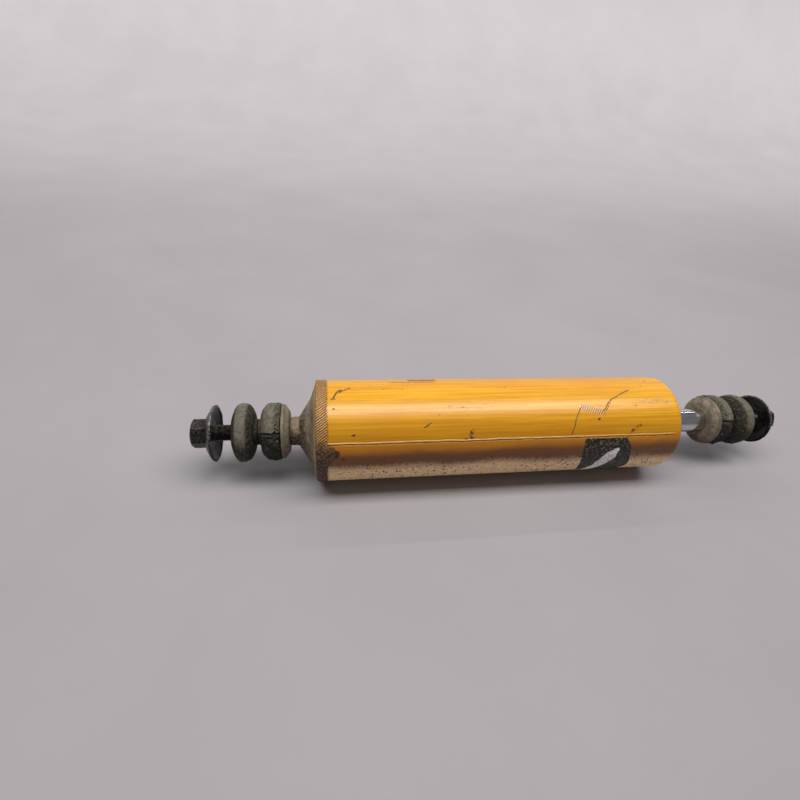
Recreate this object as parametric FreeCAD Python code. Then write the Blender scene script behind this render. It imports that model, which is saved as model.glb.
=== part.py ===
import FreeCAD, Part
import math
import os

# Telescopic twin-tube hydraulic damper with a threaded stud mount at each end, in millimetres.
# Its axis is +X, from the base stud to the rod end, and +Z is up.
# The origin is the middle of the gap that holds the bracket between the two base bushes.

# Studs, nuts and the bracket that they clamp
STUD_R = 6.0                 # M12 x 1.25 thread, drawn as a plain shank
STUD_TIP_X = -47.0
STUD_TIP_CHAMFER = 1.2
STUD_BORE_R = 6.08           # bore of everything that slides or turns on a stud
NUT_ACROSS_FLATS = 19.0
NUT_LENGTH = 11.0
NUT_CHAMFER = 1.5
THREAD_CLEARANCE = 0.05      # bore of everything that is clamped on a stud or bolt
BRACKET_GAP = 5.2
BUSH_END_CLEARANCE = 0.2     # between the bracket's mid-plane and each bush's spigot

# Bushes and cup washers, measured from the bracket's mid-plane
BUSH_R = 21.9
SPIGOT_R = 9.7
INNER_BUSH_END_X = 20.6
OUTER_BUSH_END_X = -18.1
OUTER_BUSH_FACE_R = 13.0
CUP_THICKNESS = 2.0
INNER_CUP_BACK_X = 22.6
INNER_CUP_RIM_X = 17.1
INNER_CUP_RIM_R = 20.5
OUTER_CUP_BACK_X = -35.2
OUTER_CUP_RIM_X = -29.7
OUTER_CUP_RIM_R = 21.0

# Neck and base cap
NECK_R = 9.0
NECK_WELD_R = 11.2
NECK_HEAD_R = 11.8
NECK_HEAD_LENGTH = 3.1
NECK_HEAD_CLEARANCE = 0.4
CAP_START_X = 29.6
CAP_FACE_THICKNESS = 3.8
CAP_CONE_THICKNESS = 3.1     # along the axis
CAP_KNEE_X = 38.1
CAP_KNEE_R = 25.0
CAP_RIM_X = 42.0
CAP_RIM_R = 36.9
CAP_SKIRT_END_X = 58.0
CAP_SKIRT_WALL = 2.6
CAP_SKIRT_CLEARANCE = 0.1
CAP_STEP_LENGTH = 2.5        # from the rim to the tube's end, under the weld

# Reservoir tube, its weld and its seam
TUBE_R = 38.0
TUBE_WALL = 2.5
TUBE_START_X = 47.0
TUBE_SHOULDER_X = 321.0
TUBE_NECK_X = 326.2
TUBE_NECK_R = 29.0
TUBE_END_X = 327.6
TUBE_END_R = 23.5
WELD_START_X = 41.8
WELD_END_X = 49.6
WELD_CREST_R = 38.3
SEAM_ANGLE = 25.0            # degrees above the horizontal, on the -Y side
SEAM_HEIGHT = 0.45
SEAM_WIDTH = 2.4

# Label, a film on the tube just below the seam
LABEL_START_X = 239.5
LABEL_LENGTH = 46.0
LABEL_TOP_ANGLE = 22.8
LABEL_BOTTOM_ANGLE = -45.0
LABEL_THICKNESS = 0.15

# Pressure tube
BORE_R = 25.0
PRESSURE_TUBE_R = 27.0
PRESSURE_TUBE_START_X = 62.0
PRESSURE_TUBE_END_X = 294.0
SPIGOT_CLEARANCE = 0.05

# Base valve
VALVE_PLATE_START_X = 56.0
VALVE_TOP_X = 70.0
VALVE_FOOT_X = 42.35
VALVE_FOOT_INNER_R = 23.5
VALVE_SLOT_WIDTH = 10.0
VALVE_SLOT_END_X = 51.0
VALVE_OUTER_HOLES = (8, 18.8, 2.0)      # number, radius of their circle, radius of each
VALVE_INNER_HOLES = (6, 9.5, 1.6)
VALVE_BOLT_R = 3.0
VALVE_BOLT_CLEARANCE = 0.1
VALVE_BOLT_TAIL_X = 49.6
VALVE_COLLAR_R = 5.5
VALVE_HEAD_X = 75.0
VALVE_HEAD_FLANGE_R = 9.0
VALVE_HEAD_FLANGE_THICKNESS = 1.5
VALVE_HEAD_END_X = 80.0
VALVE_NUT_ACROSS_FLATS = 10.0
VALVE_NUT_LENGTH = 4.6
VALVE_NUT_CHAMFER = 0.8
SHIM_THICKNESS = 0.4
BASE_SHIM_RADII = (16.0, 13.5, 10.0)
INTAKE_PLATE_R = (15.5, 22.0)
INTAKE_PLATE_THICKNESS = 0.8
INTAKE_SPRING_FOOT_R = 17.0

# Coned springs that press the two plates on their seats
SPRING_FINGERS = 6
SPRING_SHEET = 0.35
SPRING_FOOT_WIDTH = 1.6
SPRING_SLOT_WIDTH = 3.0
SPRING_SLOT_SHARE = 0.25     # of the spring's height

# Piston and what stands on the rod inside the pressure tube
ROD_TAIL_X = 113.0
PISTON_NUT_LENGTH = 8.0
PISTON_NUT_CHAMFER = 1.2
REBOUND_SHIM_RADII = (17.0, 15.0, 12.5, 10.0)
PISTON_X = 124.6
PISTON_LENGTH = 18.0
PISTON_R = 24.6
PISTON_OUTER_HOLES = (8, 19.6, 1.9)     # number, radius of their circle, radius of each
PISTON_INNER_HOLES = (6, 12.2, 1.7)
BAND_GROOVE_X = 130.0
BAND_GROOVE_LENGTH = 7.0
BAND_GROOVE_R = 22.0
BAND_END_CLEARANCE = 0.1
BAND_BORE_CLEARANCE = 0.03
CHECK_PLATE_R = (16.5, 22.5)
CHECK_PLATE_THICKNESS = 0.8
CHECK_SPRING_FOOT_R = 18.0
STOP_WASHER_X = 147.0
STOP_WASHER_R = 15.0
STOP_WASHER_HUB_R = 9.0
ROD_SHOULDER_X = 150.0
REBOUND_STOP_LENGTH = 4.0
REBOUND_STOP_R = 14.0
REBOUND_BUFFER_LENGTH = 9.0
REBOUND_BUFFER_R = 16.0

# Rod, its guide and its seals
ROD_R = 10.0
ROD_FIT = 0.05
ROD_END_X = 369.0
GUIDE_START_X = 284.0
GUIDE_END_X = 318.0
GUIDE_R = 35.4
GUIDE_BORE_CLEARANCE = 0.6
GUIDE_HOLES = (4, 30.0, 1.5)            # number, radius of their circle, radius of each
GUIDE_BUSH_R = 12.0
GUIDE_BUSH_X = (285.0, 303.0)
SEAL_X = (305.0, 317.4)
SEAL_R = 17.0
RETAINER_R = 32.4
RETAINER_FACE_R = 27.0
RETAINER_EDGE_LENGTH = 2.9
RETAINER_END_X = 323.4
WIPER_R = 14.0
WIPER_END_X = 327.2
O_RING_X = 302.0
O_RING_SECTION_R = 1.25
O_RING_SIDE_GAP = 0.4
O_RING_GROOVE_R = 32.9
GARTER_SECTION_R = 0.9

ROD_MOUNT_X = ROD_END_X + INNER_CUP_BACK_X
FULL_TURN = 360.0
AXIS_POINT = FreeCAD.Vector(0, 0, 0)
X_AXIS = FreeCAD.Vector(1, 0, 0)
Z_AXIS = FreeCAD.Vector(0, 0, 1)


def inner_corners(corners, wall):
    """The corners of the inside of a bent wall, from those of its outside, which run in order of x."""
    normals = []
    for (x0, r0), (x1, r1) in zip(corners, corners[1:]):
        length = math.hypot(x1 - x0, r1 - r0)
        normals.append(((r0 - r1) / length, (x1 - x0) / length))
    normals = [normals[0]] + normals + [normals[-1]]
    inner = []
    for (x, r), (nx0, nr0), (nx1, nr1) in zip(corners, normals, normals[1:]):
        share = wall / (1 + nx0 * nx1 + nr0 * nr1)
        inner.append((x - share * (nx0 + nx1), r - share * (nr0 + nr1)))
    return inner


def rounded_corner(before, corner, after, rounding):
    """The start, middle and end of the arc that rounds a corner of an outline."""
    to_before = (before - corner).normalize()
    to_after = (after - corner).normalize()
    half_angle = to_before.getAngle(to_after) / 2
    bisector = (to_before + to_after).normalize()
    start = corner + to_before * (rounding / math.tan(half_angle))
    end = corner + to_after * (rounding / math.tan(half_angle))
    middle = corner + bisector * (rounding / math.sin(half_angle) - rounding)
    return start, middle, end


def outline_face(corners):
    """A face in the XZ plane. A corner is (x, radius), or (x, radius, rounding)."""
    points = [FreeCAD.Vector(corner[0], 0, corner[1]) for corner in corners]
    edges = []
    ends = []
    for index, corner in enumerate(corners):
        if len(corner) == 2:
            ends.append((points[index], points[index]))
            continue
        after = points[(index + 1) % len(points)]
        start, middle, end = rounded_corner(points[index - 1], points[index], after, corner[2])
        edges.append(Part.Arc(start, middle, end).toShape())
        ends.append((start, end))
    for index, (_, leave) in enumerate(ends):
        arrive = ends[(index + 1) % len(ends)][0]
        edges.append(Part.LineSegment(leave, arrive).toShape())
    return Part.Face(Part.Wire(Part.__sortEdges__(edges)))


def turned(corners):
    """A solid of revolution about the damper's axis."""
    return outline_face(corners).revolve(AXIS_POINT, X_AXIS, FULL_TURN)


def ring(start_x, end_x, inner_r, outer_r, rounding=0.0):
    """A plain ring, with its two outer edges rounded if asked."""
    outer = [(end_x, outer_r), (start_x, outer_r)]
    if rounding:
        outer = [corner + (rounding,) for corner in outer]
    return turned([(start_x, inner_r), (end_x, inner_r)] + outer)


def holes(shape, count, circle_r, hole_r, start_x, end_x):
    """Cut a ring of round passages along the axis."""
    for index in range(count):
        angle = 2 * math.pi * index / count
        foot = FreeCAD.Vector(start_x, circle_r * math.cos(angle), circle_r * math.sin(angle))
        shape = shape.cut(Part.makeCylinder(hole_r, end_x - start_x, foot, X_AXIS))
    return shape


def hexagon(start_x, length, across_flats, chamfer, bore_r):
    """A hexagonal nut or bolt head with both ends chamfered. A bore of zero leaves it whole."""
    corner_r = across_flats / math.sqrt(3)
    corners = []
    for index in range(7):
        angle = math.pi / 3 * index
        corners.append(FreeCAD.Vector(start_x, corner_r * math.sin(angle), corner_r * math.cos(angle)))
    prism = Part.Face(Part.makePolygon(corners)).extrude(X_AXIS * length)
    face_r = corner_r - chamfer
    slope = chamfer * math.tan(math.radians(30))
    end_x = start_x + length
    envelope = turned([
        (start_x, bore_r),
        (end_x, bore_r),
        (end_x, face_r),
        (end_x - slope, corner_r),
        (start_x + slope, corner_r),
        (start_x, face_r),
    ])
    return prism.common(envelope)


def at_rod_end(shape):
    """Turn a piece of the base mount round and put it on the rod end's stud."""
    moved = shape.copy()
    moved.rotate(AXIS_POINT, Z_AXIS, 180)
    moved.translate(X_AXIS * ROD_MOUNT_X)
    return moved


# Stud mount

def inner_bush():
    face_x = BRACKET_GAP / 2
    return turned([
        (BUSH_END_CLEARANCE, STUD_BORE_R),
        (BUSH_END_CLEARANCE, SPIGOT_R, 0.6),
        (face_x, SPIGOT_R),
        (face_x, BUSH_R - 5.6, 0.6),
        (face_x + 4.4, BUSH_R, 2.0),
        (INNER_CUP_RIM_X - 0.8, BUSH_R, 1.2),
        (INNER_CUP_RIM_X - 0.2, INNER_CUP_RIM_R - 2.2),
        (INNER_BUSH_END_X, 13.6),
        (INNER_BUSH_END_X, STUD_BORE_R),
    ])


def outer_bush():
    face_x = -BRACKET_GAP / 2
    return turned([
        (-BUSH_END_CLEARANCE, STUD_BORE_R),
        (-BUSH_END_CLEARANCE, SPIGOT_R, 0.6),
        (face_x, SPIGOT_R),
        (face_x, OUTER_BUSH_FACE_R + 1.5, 1.0),
        (face_x - 3.6, BUSH_R, 5.0),
        (OUTER_BUSH_END_X + 3.6, BUSH_R, 5.0),
        (OUTER_BUSH_END_X, OUTER_BUSH_FACE_R, 1.0),
        (OUTER_BUSH_END_X, STUD_BORE_R),
    ])


def inner_cup_washer():
    inside_x = INNER_CUP_BACK_X - CUP_THICKNESS
    return turned([
        (INNER_CUP_BACK_X, STUD_BORE_R),
        (INNER_CUP_BACK_X, 15.4, 4.0),
        (INNER_CUP_RIM_X + 2.0, INNER_CUP_RIM_R - 0.2, 2.0),
        (INNER_CUP_RIM_X, INNER_CUP_RIM_R, 0.4),
        (INNER_CUP_RIM_X, INNER_CUP_RIM_R - CUP_THICKNESS, 0.4),
        (INNER_CUP_RIM_X + 1.0, INNER_CUP_RIM_R - CUP_THICKNESS - 0.2, 1.0),
        (inside_x, 14.2, 2.0),
        (inside_x, STUD_BORE_R),
    ])


def outer_cup_washer():
    inside_x = OUTER_CUP_BACK_X + CUP_THICKNESS
    return turned([
        (OUTER_CUP_BACK_X, STUD_BORE_R),
        (OUTER_CUP_BACK_X, 14.0, 3.0),
        (OUTER_CUP_RIM_X - 1.6, OUTER_CUP_RIM_R - 0.3, 2.0),
        (OUTER_CUP_RIM_X, OUTER_CUP_RIM_R, 0.4),
        (OUTER_CUP_RIM_X, OUTER_CUP_RIM_R - CUP_THICKNESS, 0.4),
        (OUTER_CUP_RIM_X - 0.8, OUTER_CUP_RIM_R - CUP_THICKNESS - 0.2, 1.0),
        (inside_x, 12.8, 1.5),
        (inside_x, STUD_BORE_R),
    ])


def mount_nut():
    return hexagon(OUTER_CUP_BACK_X - NUT_LENGTH, NUT_LENGTH, NUT_ACROSS_FLATS, NUT_CHAMFER, STUD_BORE_R)


def base_stud():
    cap_inside_x = CAP_START_X + CAP_FACE_THICKNESS
    return turned([
        (STUD_TIP_X, 0.0),
        (STUD_TIP_X, STUD_R - STUD_TIP_CHAMFER),
        (STUD_TIP_X + STUD_TIP_CHAMFER, STUD_R),
        (INNER_CUP_BACK_X, STUD_R),
        (INNER_CUP_BACK_X, NECK_R),
        (cap_inside_x, NECK_R),
        (cap_inside_x, NECK_HEAD_R),
        (cap_inside_x + NECK_HEAD_LENGTH, NECK_HEAD_R, 1.0),
        (cap_inside_x + NECK_HEAD_LENGTH, 0.0),
    ])


def stud_weld():
    return turned([
        (INNER_CUP_BACK_X + 0.2, NECK_R),
        (INNER_CUP_BACK_X + 0.2, NECK_WELD_R - 0.4, 1.0),
        (CAP_START_X, NECK_WELD_R),
        (CAP_START_X, NECK_R),
    ])


# Body

def base_cap():
    skirt_r = TUBE_R - TUBE_WALL - CAP_SKIRT_CLEARANCE
    inside_x = CAP_START_X + CAP_FACE_THICKNESS
    return turned([
        (CAP_START_X, NECK_R),
        (CAP_START_X, NECK_WELD_R, 0.5),
        (CAP_KNEE_X, CAP_KNEE_R, 8.0),
        (CAP_RIM_X, CAP_RIM_R, 0.8),
        (CAP_RIM_X + CAP_STEP_LENGTH, CAP_RIM_R),
        (CAP_RIM_X + CAP_STEP_LENGTH, skirt_r),
        (CAP_SKIRT_END_X, skirt_r),
        (CAP_SKIRT_END_X, skirt_r - CAP_SKIRT_WALL),
        (CAP_RIM_X + CAP_CONE_THICKNESS + 0.5, skirt_r - CAP_SKIRT_WALL, 2.0),
        (CAP_KNEE_X + CAP_CONE_THICKNESS, CAP_KNEE_R),
        (inside_x, NECK_HEAD_R + NECK_HEAD_CLEARANCE, 0.3),
        (inside_x, NECK_R),
    ])


def base_weld():
    skirt_r = TUBE_R - TUBE_WALL - CAP_SKIRT_CLEARANCE
    return turned([
        (CAP_RIM_X, CAP_RIM_R),
        (WELD_START_X, CAP_RIM_R + 0.8, 0.3),
        (WELD_START_X + 1.4, WELD_CREST_R, 1.2),
        (WELD_END_X - 1.6, WELD_CREST_R, 1.2),
        (WELD_END_X, TUBE_R),
        (TUBE_START_X, TUBE_R),
        (TUBE_START_X, skirt_r),
        (CAP_RIM_X + CAP_STEP_LENGTH, skirt_r),
        (CAP_RIM_X + CAP_STEP_LENGTH, CAP_RIM_R),
    ])


def reservoir_tube():
    """Drawn tube, rolled in over the seals at the rod end, with the low ridge of its seam."""
    start = (TUBE_START_X, TUBE_R)
    shoulder = (TUBE_SHOULDER_X, TUBE_R)
    neck = (TUBE_NECK_X, TUBE_NECK_R)
    end = (TUBE_END_X, TUBE_END_R)
    inside = inner_corners([start, shoulder, neck, end], TUBE_WALL)
    tube = turned([
        inside[0],
        start,
        shoulder + (4.0,),
        neck + (3.0,),
        end + (0.8,),
        inside[3] + (0.8,),
        inside[2],
        inside[1] + (1.5,),
    ])
    seam_start = WELD_END_X + 0.4
    seam_length = TUBE_SHOULDER_X - 4.0 - seam_start
    seam_root = 0.6
    corner = FreeCAD.Vector(seam_start, -SEAM_WIDTH / 2, TUBE_R - seam_root)
    ridge = Part.makeBox(seam_length, SEAM_WIDTH, seam_root + SEAM_HEIGHT, corner)
    ridge.rotate(AXIS_POINT, X_AXIS, 90 - SEAM_ANGLE)
    return tube.fuse(ridge)


def data_label():
    label = outline_face([
        (LABEL_START_X, TUBE_R),
        (LABEL_START_X + LABEL_LENGTH, TUBE_R),
        (LABEL_START_X + LABEL_LENGTH, TUBE_R + LABEL_THICKNESS),
        (LABEL_START_X, TUBE_R + LABEL_THICKNESS),
    ])
    film = label.revolve(AXIS_POINT, X_AXIS, LABEL_TOP_ANGLE - LABEL_BOTTOM_ANGLE)
    film.rotate(AXIS_POINT, X_AXIS, 90 - LABEL_TOP_ANGLE)
    return film


def pressure_tube():
    return ring(PRESSURE_TUBE_START_X, PRESSURE_TUBE_END_X, BORE_R, PRESSURE_TUBE_R)


# Base valve

def base_valve_body():
    body = turned([
        (VALVE_FOOT_X, VALVE_FOOT_INNER_R),
        (VALVE_FOOT_X, PRESSURE_TUBE_R),
        (PRESSURE_TUBE_START_X, PRESSURE_TUBE_R),
        (PRESSURE_TUBE_START_X, BORE_R - SPIGOT_CLEARANCE),
        (VALVE_TOP_X, BORE_R - SPIGOT_CLEARANCE, 0.5),
        (VALVE_TOP_X, VALVE_BOLT_R + VALVE_BOLT_CLEARANCE),
        (VALVE_PLATE_START_X, VALVE_BOLT_R + VALVE_BOLT_CLEARANCE),
        (VALVE_PLATE_START_X, VALVE_FOOT_INNER_R),
    ])
    for angle in (0, 90):
        corner = FreeCAD.Vector(VALVE_FOOT_X - 1, -PRESSURE_TUBE_R - 1, -VALVE_SLOT_WIDTH / 2)
        slot_length = VALVE_SLOT_END_X - VALVE_FOOT_X + 1
        slot = Part.makeBox(slot_length, 2 * PRESSURE_TUBE_R + 2, VALVE_SLOT_WIDTH, corner)
        slot.rotate(AXIS_POINT, X_AXIS, angle)
        body = body.cut(slot)
    body = holes(body, *VALVE_OUTER_HOLES, VALVE_PLATE_START_X - 1, VALVE_TOP_X + 1)
    return holes(body, *VALVE_INNER_HOLES, VALVE_PLATE_START_X - 1, VALVE_TOP_X + 1)


def shim_stack(radii, seat_x, bore_r):
    """Spring steel discs, the largest against the seat, each smaller one behind it."""
    shims = []
    for index, shim_r in enumerate(radii):
        end_x = seat_x - index * SHIM_THICKNESS
        shims.append(ring(end_x - SHIM_THICKNESS, end_x, bore_r, shim_r))
    return Part.makeCompound(shims)


def base_valve_shims():
    return shim_stack(BASE_SHIM_RADII, VALVE_PLATE_START_X, VALVE_BOLT_R + VALVE_BOLT_CLEARANCE)


def base_valve_bolt():
    return turned([
        (VALVE_BOLT_TAIL_X, 0.0),
        (VALVE_BOLT_TAIL_X, VALVE_BOLT_R, 0.6),
        (VALVE_TOP_X, VALVE_BOLT_R),
        (VALVE_TOP_X, VALVE_COLLAR_R),
        (VALVE_HEAD_X, VALVE_COLLAR_R),
        (VALVE_HEAD_X, VALVE_HEAD_FLANGE_R),
        (VALVE_HEAD_X + VALVE_HEAD_FLANGE_THICKNESS, VALVE_HEAD_FLANGE_R),
        (VALVE_HEAD_X + VALVE_HEAD_FLANGE_THICKNESS, VALVE_COLLAR_R),
        (VALVE_HEAD_END_X, VALVE_COLLAR_R, 0.8),
        (VALVE_HEAD_END_X, 0.0),
    ])


def base_valve_nut():
    seat_x = VALVE_PLATE_START_X - len(BASE_SHIM_RADII) * SHIM_THICKNESS
    start_x = seat_x - VALVE_NUT_LENGTH
    bore_r = VALVE_BOLT_R + THREAD_CLEARANCE
    return hexagon(start_x, VALVE_NUT_LENGTH, VALVE_NUT_ACROSS_FLATS, VALVE_NUT_CHAMFER, bore_r)


def base_valve_plate():
    return ring(VALVE_TOP_X, VALVE_TOP_X + INTAKE_PLATE_THICKNESS, *INTAKE_PLATE_R)


def finger_spring(start_x, end_x, foot_r, top_r):
    """A coned spring of thin sheet, slotted into fingers. It widens towards the plate that it presses."""
    cone = turned([
        (start_x, foot_r),
        (start_x, foot_r + SPRING_FOOT_WIDTH),
        (end_x, top_r + SPRING_FOOT_WIDTH),
        (end_x, top_r),
        (end_x - SPRING_SHEET, top_r),
        (end_x - SPRING_SHEET, top_r + 1.2),
        (start_x + SPRING_SHEET, foot_r - 1.0),
        (start_x + SPRING_SHEET, foot_r - 1.2),
    ])
    slot_length = SPRING_SLOT_SHARE * (end_x - start_x) + 2
    corner = FreeCAD.Vector(start_x - 2, 0, -SPRING_SLOT_WIDTH / 2)
    for index in range(SPRING_FINGERS):
        slot = Part.makeBox(slot_length, 2 * foot_r, SPRING_SLOT_WIDTH, corner)
        slot.rotate(AXIS_POINT, X_AXIS, index * FULL_TURN / SPRING_FINGERS)
        cone = cone.cut(slot)
    return cone


def base_valve_spring():
    start_x = VALVE_TOP_X + INTAKE_PLATE_THICKNESS
    return finger_spring(start_x, VALVE_HEAD_X, INTAKE_SPRING_FOOT_R, VALVE_COLLAR_R + 0.1)


# Piston

def piston():
    body = turned([
        (PISTON_X, STUD_R + THREAD_CLEARANCE),
        (PISTON_X, PISTON_R, 0.6),
        (BAND_GROOVE_X, PISTON_R),
        (BAND_GROOVE_X, BAND_GROOVE_R),
        (BAND_GROOVE_X + BAND_GROOVE_LENGTH, BAND_GROOVE_R),
        (BAND_GROOVE_X + BAND_GROOVE_LENGTH, PISTON_R),
        (PISTON_X + PISTON_LENGTH, PISTON_R, 0.6),
        (PISTON_X + PISTON_LENGTH, STUD_R + THREAD_CLEARANCE),
    ])
    end_x = PISTON_X + PISTON_LENGTH
    body = holes(body, *PISTON_OUTER_HOLES, PISTON_X - 1, end_x + 1)
    return holes(body, *PISTON_INNER_HOLES, PISTON_X - 1, end_x + 1)


def piston_band():
    return ring(
        BAND_GROOVE_X + BAND_END_CLEARANCE,
        BAND_GROOVE_X + BAND_GROOVE_LENGTH - BAND_END_CLEARANCE,
        BAND_GROOVE_R + ROD_FIT,
        BORE_R - BAND_BORE_CLEARANCE,
    )


def piston_nut():
    seat_x = PISTON_X - len(REBOUND_SHIM_RADII) * SHIM_THICKNESS
    start_x = seat_x - PISTON_NUT_LENGTH
    bore_r = STUD_R + THREAD_CLEARANCE
    return hexagon(start_x, PISTON_NUT_LENGTH, NUT_ACROSS_FLATS, PISTON_NUT_CHAMFER, bore_r)


def rebound_shims():
    return shim_stack(REBOUND_SHIM_RADII, PISTON_X, STUD_R + THREAD_CLEARANCE)


def check_valve_plate():
    start_x = PISTON_X + PISTON_LENGTH
    return ring(start_x, start_x + CHECK_PLATE_THICKNESS, *CHECK_PLATE_R)


def check_valve_spring():
    start_x = PISTON_X + PISTON_LENGTH + CHECK_PLATE_THICKNESS
    return finger_spring(start_x, STOP_WASHER_X, CHECK_SPRING_FOOT_R, STOP_WASHER_HUB_R + 0.1)


def piston_stop_washer():
    """A flanged spacer that clamps the piston and limits the check plate's spring."""
    return turned([
        (PISTON_X + PISTON_LENGTH, STUD_R + THREAD_CLEARANCE),
        (PISTON_X + PISTON_LENGTH, STOP_WASHER_HUB_R),
        (STOP_WASHER_X, STOP_WASHER_HUB_R),
        (STOP_WASHER_X, STOP_WASHER_R, 0.5),
        (ROD_SHOULDER_X, STOP_WASHER_R, 0.5),
        (ROD_SHOULDER_X, STUD_R + THREAD_CLEARANCE),
    ])


def rebound_stop():
    end_x = ROD_SHOULDER_X + REBOUND_STOP_LENGTH
    return ring(ROD_SHOULDER_X, end_x, ROD_R, REBOUND_STOP_R, 0.8)


def rebound_buffer():
    start_x = ROD_SHOULDER_X + REBOUND_STOP_LENGTH
    return ring(start_x, start_x + REBOUND_BUFFER_LENGTH, ROD_R, REBOUND_BUFFER_R, 2.5)


def piston_rod():
    """Ground and plated rod, stepped down for the piston and again for the top stud."""
    tip_x = ROD_MOUNT_X - STUD_TIP_X
    return turned([
        (ROD_TAIL_X, 0.0),
        (ROD_TAIL_X, STUD_R - 1.0),
        (ROD_TAIL_X + 1.0, STUD_R),
        (ROD_SHOULDER_X, STUD_R),
        (ROD_SHOULDER_X, ROD_R),
        (ROD_END_X, ROD_R, 0.5),
        (ROD_END_X, STUD_R),
        (tip_x - STUD_TIP_CHAMFER, STUD_R),
        (tip_x, STUD_R - STUD_TIP_CHAMFER),
        (tip_x, 0.0),
    ])


# Rod guide and seals

def rod_guide():
    bush_start, bush_end = GUIDE_BUSH_X
    body = turned([
        (GUIDE_START_X, ROD_R + GUIDE_BORE_CLEARANCE),
        (GUIDE_START_X, BORE_R - SPIGOT_CLEARANCE, 0.8),
        (PRESSURE_TUBE_END_X, BORE_R - SPIGOT_CLEARANCE),
        (PRESSURE_TUBE_END_X, GUIDE_R, 0.8),
        (O_RING_X - O_RING_SECTION_R - O_RING_SIDE_GAP, GUIDE_R),
        (O_RING_X - O_RING_SECTION_R - O_RING_SIDE_GAP, O_RING_GROOVE_R),
        (O_RING_X + O_RING_SECTION_R + O_RING_SIDE_GAP, O_RING_GROOVE_R),
        (O_RING_X + O_RING_SECTION_R + O_RING_SIDE_GAP, GUIDE_R),
        (GUIDE_END_X, GUIDE_R, 1.5),
        (GUIDE_END_X, SEAL_R),
        (SEAL_X[0], SEAL_R),
        (SEAL_X[0], ROD_R + GUIDE_BORE_CLEARANCE),
        (bush_end, ROD_R + GUIDE_BORE_CLEARANCE),
        (bush_end, GUIDE_BUSH_R),
        (bush_start, GUIDE_BUSH_R),
        (bush_start, ROD_R + GUIDE_BORE_CLEARANCE),
    ])
    return holes(body, *GUIDE_HOLES, PRESSURE_TUBE_END_X - 1, GUIDE_END_X + 1)


def guide_bush():
    return ring(GUIDE_BUSH_X[0], GUIDE_BUSH_X[1], ROD_R + ROD_FIT, GUIDE_BUSH_R)


def guide_o_ring():
    ring_r = O_RING_GROOVE_R + O_RING_SECTION_R
    return Part.makeTorus(ring_r, O_RING_SECTION_R, FreeCAD.Vector(O_RING_X, 0, 0), X_AXIS)


def rod_seal():
    """Lip seal. Its main lip faces the oil and its heel fills the guide's counterbore."""
    start_x, end_x = SEAL_X
    lip_r = ROD_R + ROD_FIT
    return turned([
        (start_x + 6.4, lip_r + 0.5),
        (start_x + 2.4, lip_r),
        (start_x + 0.6, lip_r + 0.7),
        (start_x + 0.6, lip_r + 1.8),
        (start_x + 3.4, lip_r + 1.8),
        (start_x + 6.4, lip_r + 2.4, 0.8),
        (start_x + 6.4, SEAL_R - 2.0, 0.8),
        (start_x, SEAL_R - 2.0),
        (start_x, SEAL_R),
        (end_x, SEAL_R),
        (end_x, lip_r + 0.5),
    ])


def seal_garter_spring():
    centre = FreeCAD.Vector(SEAL_X[0] + 2.0, 0, 0)
    return Part.makeTorus(ROD_R + ROD_FIT + 1.8 + GARTER_SECTION_R, GARTER_SECTION_R, centre, X_AXIS)


def seal_retainer():
    return turned([
        (GUIDE_END_X, WIPER_R),
        (GUIDE_END_X, RETAINER_R),
        (GUIDE_END_X + RETAINER_EDGE_LENGTH, RETAINER_R, 0.8),
        (RETAINER_END_X, RETAINER_FACE_R, 1.5),
        (RETAINER_END_X, WIPER_R),
    ])


def dust_wiper():
    lip_r = ROD_R + ROD_FIT
    return turned([
        (GUIDE_END_X, lip_r + 0.9),
        (GUIDE_END_X, WIPER_R),
        (RETAINER_END_X, WIPER_R),
        (RETAINER_END_X + 0.8, WIPER_R, 0.4),
        (WIPER_END_X, lip_r + 1.1, 0.3),
        (WIPER_END_X - 0.2, lip_r),
        (WIPER_END_X - 1.4, lip_r),
        (RETAINER_END_X - 1.0, lip_r + 0.9, 0.5),
    ])


def all_parts():
    """Every piece by name."""
    return {
        "base_nut": mount_nut(),
        "base_outer_cup_washer": outer_cup_washer(),
        "base_outer_bush": outer_bush(),
        "base_inner_bush": inner_bush(),
        "base_inner_cup_washer": inner_cup_washer(),
        "base_stud": base_stud(),
        "stud_weld": stud_weld(),
        "base_cap": base_cap(),
        "base_weld": base_weld(),
        "reservoir_tube": reservoir_tube(),
        "data_label": data_label(),
        "pressure_tube": pressure_tube(),
        "base_valve_body": base_valve_body(),
        "base_valve_shims": base_valve_shims(),
        "base_valve_bolt": base_valve_bolt(),
        "base_valve_nut": base_valve_nut(),
        "base_valve_plate": base_valve_plate(),
        "base_valve_spring": base_valve_spring(),
        "piston": piston(),
        "piston_band": piston_band(),
        "piston_nut": piston_nut(),
        "rebound_shims": rebound_shims(),
        "check_valve_plate": check_valve_plate(),
        "check_valve_spring": check_valve_spring(),
        "piston_stop_washer": piston_stop_washer(),
        "rebound_stop": rebound_stop(),
        "rebound_buffer": rebound_buffer(),
        "piston_rod": piston_rod(),
        "rod_guide": rod_guide(),
        "guide_bush": guide_bush(),
        "guide_o_ring": guide_o_ring(),
        "rod_seal": rod_seal(),
        "seal_garter_spring": seal_garter_spring(),
        "seal_retainer": seal_retainer(),
        "dust_wiper": dust_wiper(),
        "rod_inner_cup_washer": at_rod_end(inner_cup_washer()),
        "rod_inner_bush": at_rod_end(inner_bush()),
        "rod_outer_bush": at_rod_end(outer_bush()),
        "rod_outer_cup_washer": at_rod_end(outer_cup_washer()),
        "rod_nut": at_rod_end(mount_nut()),
    }


os.makedirs("parts", exist_ok=True)
for name, shape in all_parts().items():
    if not shape.isValid():
        raise ValueError(f"{name} is not a valid shape")
    shape.exportStep(f"parts/{name}.step")
    print(f"{name}: {len(shape.Solids)} solid(s), {shape.Volume:.1f} mm3")
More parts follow.
